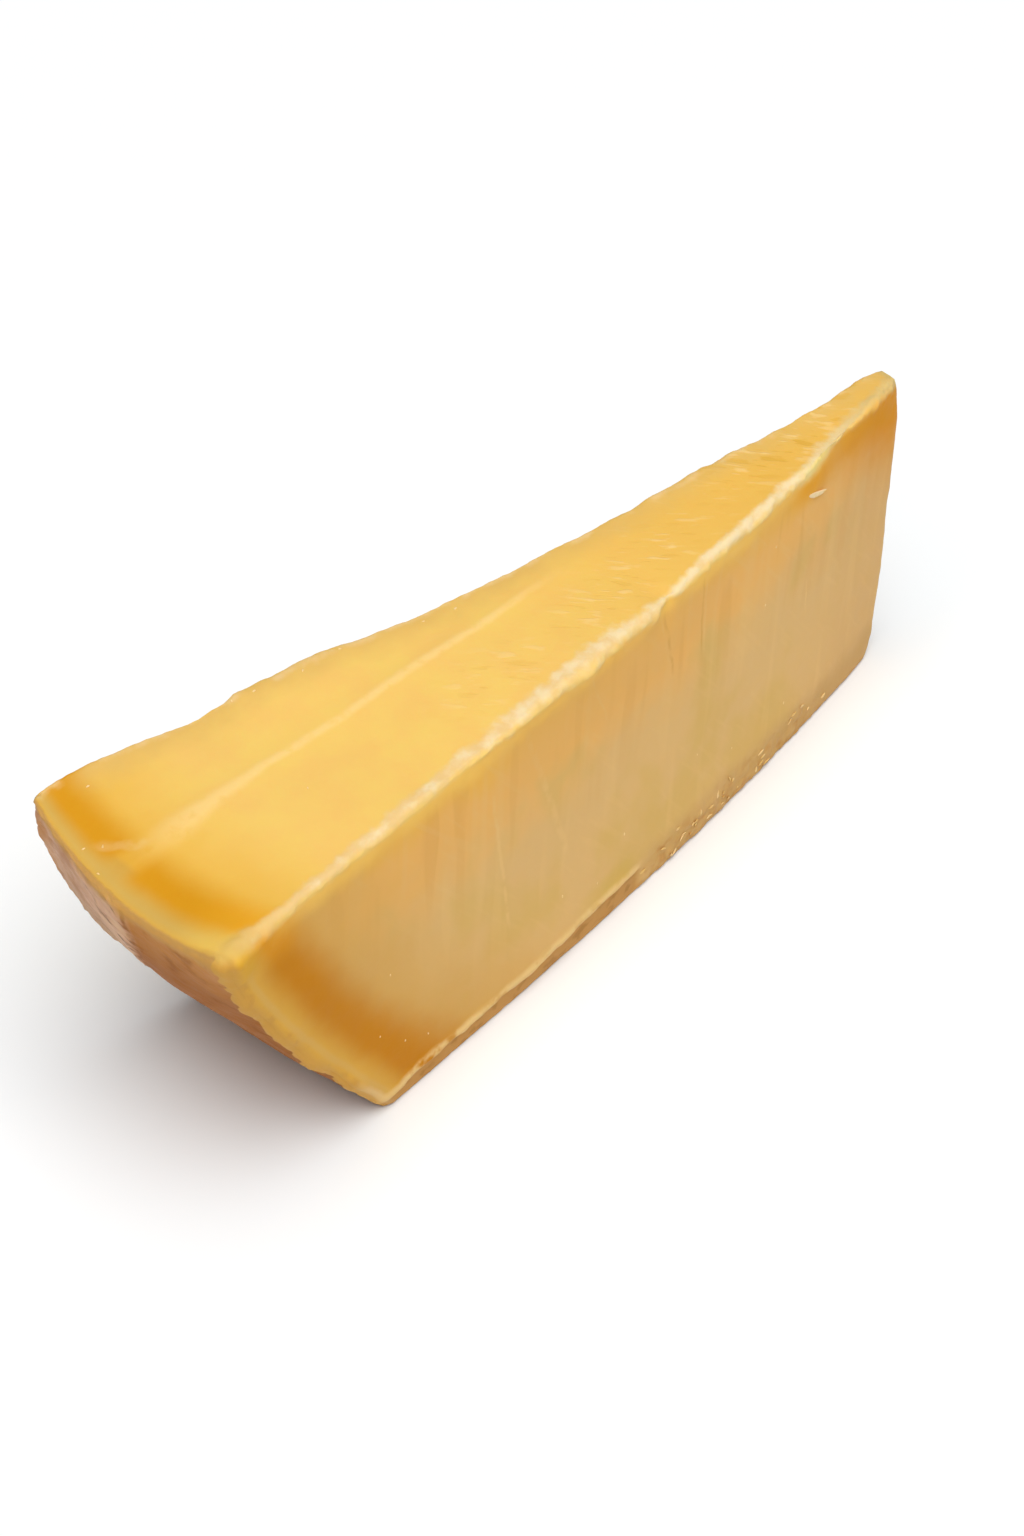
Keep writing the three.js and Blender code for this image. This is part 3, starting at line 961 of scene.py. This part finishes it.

# %% Below the lip: a painted glow of light through the thin paste, orange tongues,
# and a golden patch under the flake
below = w.wander(below_top, 5, 1)
glow_depth = w.wander(w.wander(below_top, 4, 1.2, 3), 11, 4)
tongue_depth = w.wander(w.wander(below_top, 5, 3, 4), 14, 6)
tongues = w.both(w.ramp(tongue_depth, 1.5, 6), w.ramp(tongue_depth, 24, 12))
paste = w.layers(
    side_tone,
    (SIDE_WARM, w.ragged(rim_place, 12, 0.5, 5.5, 2.6), 0.9),
    (PAINTED_GLOW, w.ramp(glow_depth, 7, 0.8), w.ramp(rim_place, 2.1, 3.8)),
    (SIDE_ORANGE, tongues, w.ramp(at_x, -38, -22), w.ramp(at_x, 46, 22), on_right_cut, 0.6),
    (GOLDEN, w.oval(at_x, below, (70, 4.5), (12, 8)), on_right_cut),
    (top_tone, on_top_face),
)

# %% The dried rim: a pale strip, then amber that the fold breaks through


def by_face(side, below_lip, top, near_lip):
    """One tone for each face, and one where it comes to the lip; on the top, painted light."""
    side_and_lip = w.over(side, below_lip, w.ramp(below_top, 14, 3))
    top_and_lip = w.over(top, near_lip, w.ramp(across_place, 0.3, 0.04))
    return w.over(side_and_lip, top_and_lip, on_top_face)


wandering_rim = w.wander(rim_place, 8, 0.14)
ragged_rim = w.wander(rim_place, 2.5, 0.12, 3)
amber_place = w.both(w.ramp(wandering_rim, 0.9, 1.85), w.ramp(wandering_rim, 3.15, 2.05))
fold_break = w.both(w.line(w.zone("crease"), 5), on_top_face, 0.6)
rim_edge = w.scaled(on_top_face, 0.25, ragged_rim)  # narrower on the top
inner_line = w.line(w.wander(rim_place, 9, 0.12), 0.3, 0.8)
top_corner = w.oval(at_x, w.wander(at_y, 4, 1), (-101, -28.2), (11, 4.5))
foot_corner = w.both(w.ragged(at_z, 5, 3, 18, 8), w.line(ragged_rim, 0.4, 0.35))
paste = w.layers(
    paste,
    # at the top's right corner by the heel, the strip and the amber are painted lighter to undo the shade
    # of the slope
    (by_face(SIDE_STRIP, SIDE_STRIP_TOP, TOP_STRIP, TOP_STRIP_LIT_CORNER), w.ramp(rim_place, 2.05, 1.7)),
    (
        by_face(SIDE_AMBER, SIDE_AMBER_TOP, TOP_AMBER, TOP_AMBER_LIT_CORNER),
        amber_place, w.inverse(fold_break),
    ),
    # painted glow again: light through the paste under the lip, nearer the rind
    (PAINTED_GLOW, w.ramp(below, 6.5, 0.5), w.ramp(rim_place, 1.6, 2.7), on_right_cut, off_top, 0.65),
    (w.over(SIDE_EDGE, TOP_EDGE, on_top_face), w.ramp(rim_edge, 0.65, 0.1), 0.85),
    (SIDE_MOTTLE, w.ramp(w.noise(3.2, 2), 0.5, 0.68), w.ramp(rim_place, 0.75, 0.45), on_side_face, 0.45),
    (SIDE_LINE, inner_line, on_side_face, w.ramp(below_top, 4, 14), 0.6),
    (CORNER_CREAM, top_corner, w.ramp(on_top_face, 0.05, 0.6)),
    (FOOT_CREAM, foot_corner, on_side_face, 0.75),
    (CREASE_TONE, fold, on_top_face, 0.85),
    (LIP_PINK, kink, patchy, on_top_face, 0.3),
)

# %% The deep amber corner at the top of the tip, and the tip's cream edge
tip_depth = w.wander(below_top, 7, 2)
tip_band = w.both(w.ragged(below_top, 3, 0.8, 1.2, 3.6), w.ragged(below_top, 7, 4, 12, 5.5, 3))
paste = w.layers(
    paste,
    (TIP_AMBER, w.oval(at_x, tip_depth, (105, 5), (35, 20)), off_top),
    (TIP_AMBER, w.oval(at_x, tip_depth, (108, 18), (15, 18)), off_top, 0.5),
    (TIP_BAND, tip_band, w.ragged(at_x, 8, 5, 64, 86), off_top, 0.65),
    (TIP_CREAM, w.ragged(w.zone("near_tip"), 2.5, 0.8, 3.4, 1.2)),
)

# %% The pale lip with a painted highlight on its facet before the tip, and the torn left edge
near_lip_place = w.zone("near_lip")
thinner = w.both(w.ramp(at_x, 82, 88), w.ramp(at_x, 100, 96))  # a plain stretch before the tip
lip_place = w.wander(w.wander(w.zone("lip"), 2.4, 0.42, 3), 6, 0.4)
lip_band = w.both(
    w.ramp(w.scaled(thinner, -0.2, lip_place), -0.35, 0.55), w.ramp(lip_place, 1.25, 0.7),
    w.ramp(near_lip_place, 7, 5.5), w.ramp(rim_place, 0.4, 1.6),
)
lip_tone = w.layers(
    LIP_PINK,
    (LIP_CREAM, w.ramp(w.scaled(at_x, 0.002, w.noise(4.2, 3)), 0.3, 0.66)),
    (TIP_CREAM, w.ragged(at_x, 5, 6, 60, 98), 0.8),
)
# A painted highlight, as if the rounded lip there faced up into the light
facet_highlight = w.oval(at_x, w.wander(below_top, 2, 0.5), (72, 1.4), (11, 4))
paste = w.layers(
    paste,
    # Pale edge of the lip, partly painted light that lifts the shade of its lower step
    (
        LIP_EDGE_PALE_AND_LIT, w.ragged(near_lip_place, 4, 0.8, 2.6, 0.8), w.ramp(rim_place, 1.5, 2.5),
        w.scaled(thinner, -0.55, 1), 0.85,
    ),
    (lip_tone, lip_band, w.scaled(w.ragged(at_x, 4, 2, -104, -84), 0.62, 0.3)),
    (FACET_HIGHLIGHT, facet_highlight, on_right_cut, 0.85),
    (
        LEFT_LIP, w.ragged(w.zone("near_left"), 3, 1.6, 2.6, 0.6, 3), w.ramp(w.noise(7, 4), 0.4, 0.56),
        on_top_face, 0.8,
    ),
)

# %% The foot of the cuts: a torn ledge with the flat rind under it, then a rough blotchy stretch
# The brown under the ledge and at the bottom is partly the rind and partly painted shade at the table.
ledge_here = w.zone("has_ledge")
ledge_place = w.wander(w.zone("above_ledge"), 3.5, 0.7, 3)
ledge = w.both(ledge_here, w.line(ledge_place, 2, 1))
foot_tone = w.over(FOOT_RIND, FOOT_DARK, w.ramp(w.noise(2.5, 3, stretch=(1.6, 1, 1)), 0.5, 0.7))
paste = w.layers(
    paste,
    (FOOT_GOLD, w.oval(at_x, w.wander(at_z, 5, 2), (3, 11), (15, 6)), on_right_cut, 0.6),
    (FOOT_ROUGH, on_side_face, w.ragged(at_z, 8, 3, 14, 5), w.ramp(at_x, 5, 25), 0.8),
    (FOOT_LEDGE, ledge, w.ramp(w.noise(4, 3), 0.3, 0.5)),
    # brown under the ledge and at the very bottom: the flat rind, and partly painted shade by the table
    (foot_tone, ledge_here, w.ramp(ledge_place, 0.3, -0.5), 0.95),
    (foot_tone, on_side_face, w.ragged(at_z, 4, 0.9, 2.2, 0.9), 0.8),
    (FOOT_RIND, w.zone("pitted"), w.ramp(w.noise(3, 4), 0.5, 0.66), 0.75),
)

# %% The rind: orange brown to the right and browner downwards, tan where it has flaked
on_base_face = w.zone("on_base")
patch_mask = w.zone("in_patch")
ridge_place = w.zone("ridge")
near_ridge = w.ramp(ridge_place, 18, 2)
rind_fibre = w.noise(1.6, 4, stretch=(1, 4.5, 1), turn=(17, 0, 0))
rind_depth = w.wander(at_z, 9, 7)
flaked = w.layers(
    RIND_TAN,
    (RIND_TAN_LOW, w.ramp(rind_depth, 68, 50)),
    (RIND_BROWN, w.ramp(w.noise(12, 3), 0.5, 0.66), 0.45),
    (RIND_ORANGE, w.ramp(across_place, 0.85, 0.98), w.ramp(mottle, 0.3, 0.55), 0.7),
    (RIND_PALE, w.ramp(rind_fibre, 0.5, 0.38), near_ridge, 0.85),
    (RIND_CRACK, w.ramp(rind_fibre, 0.55, 0.64), near_ridge, 0.8),
)
# A painted shadow line beside the ridge of the flaked patch
ridge_shade = w.line(w.wander(ridge_place, 3, 0.8), 0.9, -0.6)
rind = w.layers(
    RIND_ORANGE,
    (RIND_BROWN, w.ramp(rind_depth, 75, 57)),
    (RIND_DEEP, w.ramp(mottle, 0.52, 0.72), 0.6),
    (RIND_TAN, on_base_face, w.ramp(mottle, 0.35, 0.7), 0.6),
    (flaked, patch_mask),
    (RIND_DEEP, ridge_shade, w.ramp(at_z, 30, 50), patchy, 0.8),
    (RIND_TOP, w.ragged(below_top, 3, 1.5, 4, 1), 0.9),
    (RIND_RIM, w.ragged(below_top, 2, 0.6, 1.5, 0.3), 0.9),
)
rind_mask = w.ragged(w.zone("rind"), 2, 0.12, 0.35, 0.65)
scales = w.both(w.ragged(w.zone("torn"), 2, 0.4, 0.25, -0.15), w.inverse(on_base_face))

# %% Colour, gloss and shading relief of the wedge
cheese_tone = w.over(paste, rind, rind_mask, w.inverse(scales))
relief = w.total(
    w.both(w.noise(1.1, 2), 0.04),
    w.both(mottle, 0.15),
    w.both(scratches, 0.09),
    w.both(scores, -0.06),
    w.both(fold, on_top_face, 0.08),
    w.both(drag, on_side_face, 0.1),
    w.both(lip_band, w.noise(1.6, 3), 0.16),
    w.both(rind_fibre, rind_mask, w.scaled(patch_mask, 0.75, 0.2)),
)
w.cover(dressed, cheese_tone, w.scaled(mottle, 0.3, 0.36), relief, 0.15)

# %% Dried crumbs and slivers
FLAKE_CREAM = (246, 216, 168)
CRUMB_GOLD = (236, 194, 118)
SPECK_TONE = (250, 214, 150)


def dry(piece, name, pale, golden_share):
    """Dried paste of a pale tone; `golden_share` is the share of it that stays golden."""
    c = Wiring(bpy.data.materials.new(name))
    golden = c.ramp(c.noise(3, 2), 0.8 - golden_share, 0.95 - golden_share)
    roughness = c.scaled(c.noise(1, 2), 0.3, 0.35)
    c.cover(piece, c.over(pale, CRUMB_GOLD, golden), roughness, c.both(c.noise(0.5, 2), 0.08), 0.1)


dry(specks, "dried_speck", SPECK_TONE, 0.2)
dry(curled_flake, "flake_paste", FLAKE_CREAM, 0.25)
dry(foot_flecks, "foot_fleck", SPECK_TONE, 0.4)

# %% [markdown]
# ## The studio
#
# A white table, a white surround, and one broad light almost overhead, leaning in from the right. It
# is a sun lamp with a wide angle: its shadow is soft, and it lights the whole table evenly.

# %% Table
TABLE_HALF_WIDTH = 9000.0
TABLE_DROP = 0.02  # it lies just under the wedge
TABLE_WHITE = (0.895, 0.912, 0.918, 1)  # linear; a cool white, as the wedge throws warm light on it
TABLE_GREY = (0.885, 0.902, 0.908, 1)
sides = TABLE_HALF_WIDTH * np.array([(-1, -1), (1, -1), (1, 1), (-1, 1)])
corners = np.column_stack([sides, np.full(4, -TABLE_DROP)])
table = make_piece("table", corners - to_frame, np.array([[0, 1, 2, 3]]))
t = Wiring(bpy.data.materials.new("white_table"))
table_tone = t.over(TABLE_WHITE, TABLE_GREY, t.noise(300))
t.feed_all(t.main, {"Base Color": table_tone, "Roughness": 0.9, "Specular IOR Level": 0.0})
table.data.materials.append(t.owner)

# %% Lights
SURROUND_LIGHT = 0.10  # it lights the wedge only faintly
SURROUND_SEEN = 1.0  # but behind the table it looks white
bpy.context.scene.world = bpy.data.worlds.new("white_surround")
s = Wiring(bpy.context.scene.world, "Background")
seen = s.add("LightPath", {})["Is Camera Ray"]
strength = s.scaled(seen, SURROUND_SEEN - SURROUND_LIGHT, SURROUND_LIGHT)
s.feed_all(s.main, {"Color": (255, 255, 255), "Strength": strength})

KEY_FROM = (-0.151, -0.247, 1.0)  # the way to the light: nearly overhead
KEY_ANGLE = 54  # how wide it looks from the table, in degrees
KEY_ENERGY = 3.35
key_data = bpy.data.lights.new("overhead_key", "SUN")
key_data.energy = KEY_ENERGY
key_data.angle = math.radians(KEY_ANGLE)
key = add_object("overhead_key", key_data)
key.matrix_world = Vector(KEY_FROM).to_track_quat("Z", "Y").to_matrix().to_4x4()
bpy.context.scene.view_settings.view_transform = "Standard"

# %% [markdown]
# ## The camera
#
# It looks down on the wedge from the side of its heel. Its axes come from the two viewing angles,
# and it stands back along them, a little to the left and up.

# %% Camera
CAMERA_AZIMUTH = math.radians(-43.196)
CAMERA_ELEVATION = math.radians(46.160)
CAMERA_DISTANCE = 695.85  # mm, from the origin of the formulas
CAMERA_SIDEWAYS = -4.93
CAMERA_RISE = 22.37
LENS = 75  # and the sensor's height, in mm
SENSOR = 36

sideways = np.array([math.cos(CAMERA_AZIMUTH), math.sin(CAMERA_AZIMUTH), 0])
level = np.array([math.sin(CAMERA_AZIMUTH), -math.cos(CAMERA_AZIMUTH), 0])
back = math.cos(CAMERA_ELEVATION) * level + np.array([0, 0, math.sin(CAMERA_ELEVATION)])
upward = np.cross(back, sideways)
eye = to_frame + back * CAMERA_DISTANCE + sideways * CAMERA_SIDEWAYS + upward * CAMERA_RISE

camera_data = bpy.data.cameras.new("camera")
camera_data.lens = LENS
camera_data.sensor_fit = "VERTICAL"
camera_data.sensor_height = SENSOR
camera_data.clip_start = 0.01
camera = add_object("camera", camera_data)
pose = np.eye(4)
pose[:3] = np.column_stack([sideways, upward, back, eye * MM])
camera.matrix_world = Matrix(pose.tolist())
bpy.context.scene.camera = camera
print("camera at", (eye * MM).round(3))

# %% Tell the frame what each piece is
for piece in (dressed, specks, curled_flake, foot_flecks):
    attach(piece, "root")
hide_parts("cheese_wedge")
